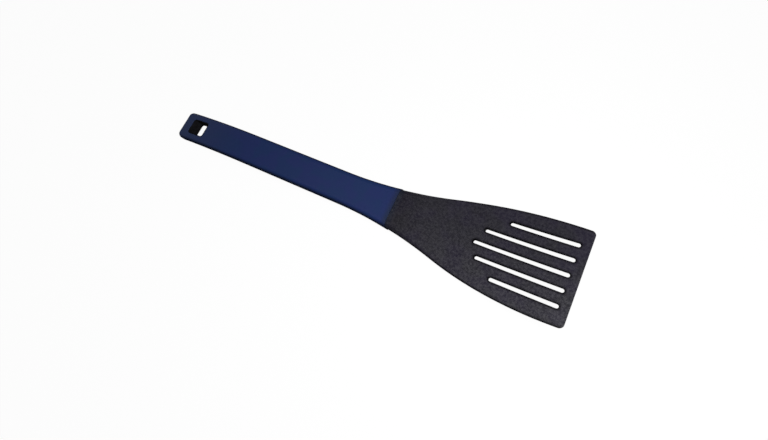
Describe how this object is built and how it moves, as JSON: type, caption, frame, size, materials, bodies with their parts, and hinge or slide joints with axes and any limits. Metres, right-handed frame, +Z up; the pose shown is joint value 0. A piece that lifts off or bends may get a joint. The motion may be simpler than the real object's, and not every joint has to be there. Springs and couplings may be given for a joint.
{
  "type": "slotted kitchen turner",
  "caption": "Slotted kitchen turner with a flared dark blade and a curved soft navy handle that has a rectangular hanging hole.",
  "frame": {"origin": "on the table under the middle of the tool's length, with the tool laid down upper face up, leaning on the end of its handle and on the lower front edge of its sleeve", "axes": "+X along the tool from the handle's end to the blade's tip, +Z up, Y across the blade"},
  "size_m": [0.3364, 0.0642, 0.0184],
  "materials": {
    "nylon": "matt, finely speckled",
    "core": "satin",
    "sleeve": "soft matt"
  },
  "bodies": {
    "root": {"blade": "nylon", "handle_core": "core", "grip": "sleeve"}
  },
  "joints": []
}
